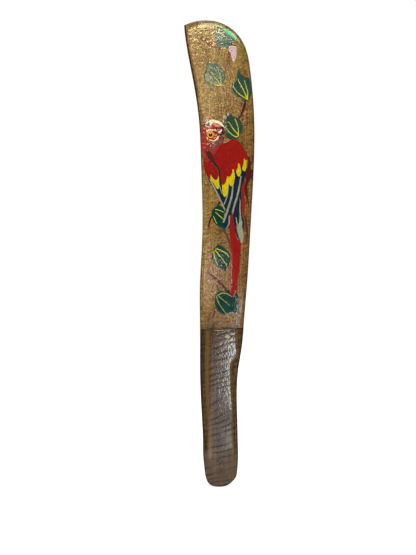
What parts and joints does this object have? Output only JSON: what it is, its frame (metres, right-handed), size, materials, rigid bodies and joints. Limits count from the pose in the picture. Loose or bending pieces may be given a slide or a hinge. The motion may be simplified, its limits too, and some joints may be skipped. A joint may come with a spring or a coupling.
{
  "type": "painted wooden machete",
  "caption": "Decorative wooden machete with a painted macaw and leaves on its blade and a pegged slab handle.",
  "frame": {"origin": "centre of the grip, midway between the two slabs' outer faces", "axes": "+Z along the length to the tip; +X from the spine to the cutting edge; -Y is the outward normal of the painted face"},
  "size_m": [0.0696, 0.02, 0.4606],
  "materials": {
    "blade_wood": "varnished light brown wood",
    "handle_wood": "glossy varnished dark wood",
    "peg_wood": "pale end grain, varnished",
    "red_paint": "brushed enamel under varnish",
    "yellow_paint": "brushed enamel under varnish",
    "blue_paint": "brushed enamel under varnish",
    "pale_paint": "brushed enamel under varnish",
    "green_paint": "brushed enamel under varnish",
    "brown_paint": "brushed enamel under varnish"
  },
  "bodies": {
    "root": {"blade": "blade_wood", "front_slab": "handle_wood", "back_slab": "handle_wood", "upper_peg": "peg_wood", "lower_peg": "peg_wood"}
  },
  "joints": []
}
